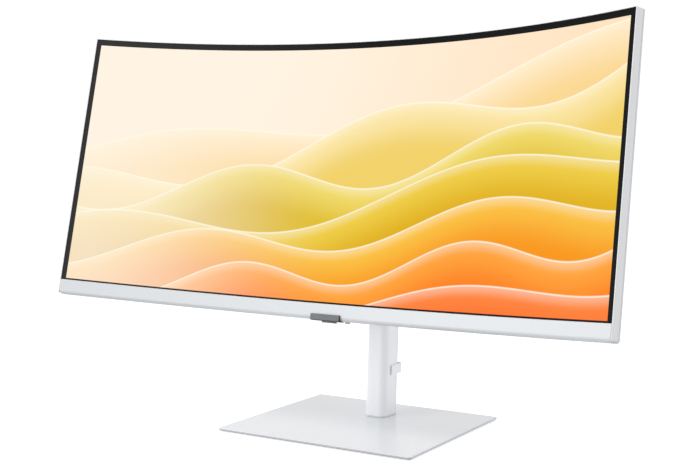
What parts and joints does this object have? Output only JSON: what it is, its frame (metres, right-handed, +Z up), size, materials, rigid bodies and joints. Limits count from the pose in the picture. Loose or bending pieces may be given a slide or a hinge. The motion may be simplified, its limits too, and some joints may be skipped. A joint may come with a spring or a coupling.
{
  "type": "computer monitor",
  "caption": "Curved ultrawide monitor head with a slim white casing, tilting on an arm that slides along a leaning column above a flat rectangular swivel base.",
  "frame": {"origin": "centre of the object's box, on the plane of the desk under the rubber feet", "axes": "+X to the right of a person facing the screen, +Y away from that person, +Z up"},
  "size_m": [0.8038, 0.2734, 0.523],
  "materials": {
    "white_casing": "moulded, faint satin texture",
    "white_stand": "moulded satin",
    "white_steel": "powder coated, satin",
    "release_plastic": "moulded satin",
    "screen": "lit picture behind an anti-glare face, black border",
    "diffuser": "translucent film",
    "acrylic": "clear light guide",
    "led_strip": "white board with diodes",
    "sheet_steel": "pressed zinc-plated sheet",
    "machined_steel": "turned",
    "spring_steel": "blued strip",
    "bronze": "turned washer",
    "cast_arm": "die cast",
    "carriage_plastic": "glass-filled nylon",
    "rubber_pad": "matt",
    "badge_satin": "satin, no lettering",
    "black_plastic": "moulded",
    "black_lens": "polished",
    "jog_grey": "moulded",
    "circuit_green": "solder mask",
    "circuit_tan": "paper laminate",
    "port_black": "moulded",
    "port_metal": "plated shell"
  },
  "bodies": {
    "base": {"base_plate": "white_steel", "rubber_foot_1": "rubber_pad", "rubber_foot_2": "rubber_pad", "rubber_foot_3": "rubber_pad", "rubber_foot_4": "rubber_pad", "swivel_hub": "machined_steel", "swivel_nut": "machined_steel"},
    "thumb_screw": {"base_screw": "machined_steel"},
    "thumb_ring": {"screw_ring": "machined_steel"},
    "column": {"column_shell": "white_stand", "column_back": "white_stand", "column_cap": "white_stand", "column_foot": "white_stand", "swivel_plate": "sheet_steel", "swivel_washer": "bronze", "guide_rail_left": "sheet_steel", "guide_rail_right": "sheet_steel", "coil_axle": "machined_steel", "lift_spring_strip": "spring_steel", "cable_clip": "white_stand"},
    "spring_coil": {"lift_spring_coil": "spring_steel"},
    "carriage": {"lift_carriage": "carriage_plastic", "neck_arm": "cast_arm", "neck_cover": "white_stand"},
    "display": {"lcd_cell": "screen", "optical_films": "diffuser", "light_guide": "acrylic", "led_bar": "led_strip", "panel_chassis": "sheet_steel", "middle_frame": "white_casing", "lower_bezel": "white_casing", "rear_cover": "white_casing", "badge_plate": "badge_satin", "badge_housing": "black_plastic", "status_lens": "black_lens", "main_board": "circuit_green", "power_board": "circuit_tan", "power_inlet": "port_black", "hdmi_port": "port_black", "displayport_port": "port_black", "usb_c_port": "port_metal", "usb_a_port_1": "port_metal", "usb_a_port_2": "port_metal", "lan_port": "port_metal", "audio_jack": "black_plastic", "vesa_bracket": "sheet_steel", "mount_plate": "sheet_steel", "tilt_bracket": "sheet_steel", "bracket_screw_1": "machined_steel", "bracket_screw_2": "machined_steel", "bracket_screw_3": "machined_steel", "bracket_screw_4": "machined_steel", "tilt_pin": "machined_steel", "tilt_nut": "machined_steel", "friction_washer_left": "bronze", "friction_washer_right": "bronze"},
    "release": {"release_button": "release_plastic"},
    "jog_gimbal": {"jog_ring": "black_plastic"},
    "jog_stick": {"jog_stem": "black_plastic"},
    "jog_tip": {"jog_cap": "jog_grey"}
  },
  "joints": [
    {"name": "stand_swivel", "type": "hinge", "parent": "base", "child": "column", "pos_m": [0, 0.0685, 0.01], "axis": [0, 0, 1], "range_deg": [-30, 30]},
    {"name": "lift", "type": "slide", "parent": "column", "child": "carriage", "axis": [0, 0.0654, 0.9979], "range_m": [-0.05, 0.07], "deforming": ["lift_spring_strip"]},
    {"name": "coil_spin", "type": "hinge", "parent": "column", "child": "spring_coil", "pos_m": [0, 0.0974, 0.441], "axis": [1, 0, 0], "range_deg": [-272, 381]},
    {"name": "tilt", "type": "hinge", "parent": "carriage", "child": "display", "pos_m": [0, 0.03881, 0.32159], "axis": [-1, 0, 0], "range_deg": [-17.4, 9.6]},
    {"name": "release_press", "type": "slide", "parent": "display", "child": "release", "axis": [0, -0.9767, 0.2147], "range_m": [0, 0.003], "stiffness_N_per_m": 700},
    {"name": "jog_fore_aft", "type": "hinge", "parent": "display", "child": "jog_gimbal", "pos_m": [0.0076, -0.02725, 0.15151], "axis": [1, 0, 0], "range_deg": [-6, 6], "stiffness_Nm_per_rad": 0.05},
    {"name": "jog_left_right", "type": "hinge", "parent": "jog_gimbal", "child": "jog_stick", "pos_m": [0.0076, -0.02725, 0.15151], "axis": [0, 0.9767, -0.2147], "range_deg": [-6, 6], "stiffness_Nm_per_rad": 0.05},
    {"name": "jog_press", "type": "slide", "parent": "jog_stick", "child": "jog_tip", "axis": [0, 0.2147, 0.9767], "range_m": [0, 0.001], "stiffness_N_per_m": 500},
    {"name": "screw_turn", "type": "hinge", "parent": "base", "child": "thumb_screw", "pos_m": [0, 0.0685, 0.008], "axis": [0, 0, 1], "continuous": true},
    {"name": "ring_fold", "type": "hinge", "parent": "thumb_screw", "child": "thumb_ring", "pos_m": [0, 0.0685, 0.0031], "axis": [-1, 0, 0], "range_deg": [0, 90]}
  ],
  "couplings": [
    {"joint": "coil_spin", "follows": "lift", "rad_per_m": 94.8}
  ]
}
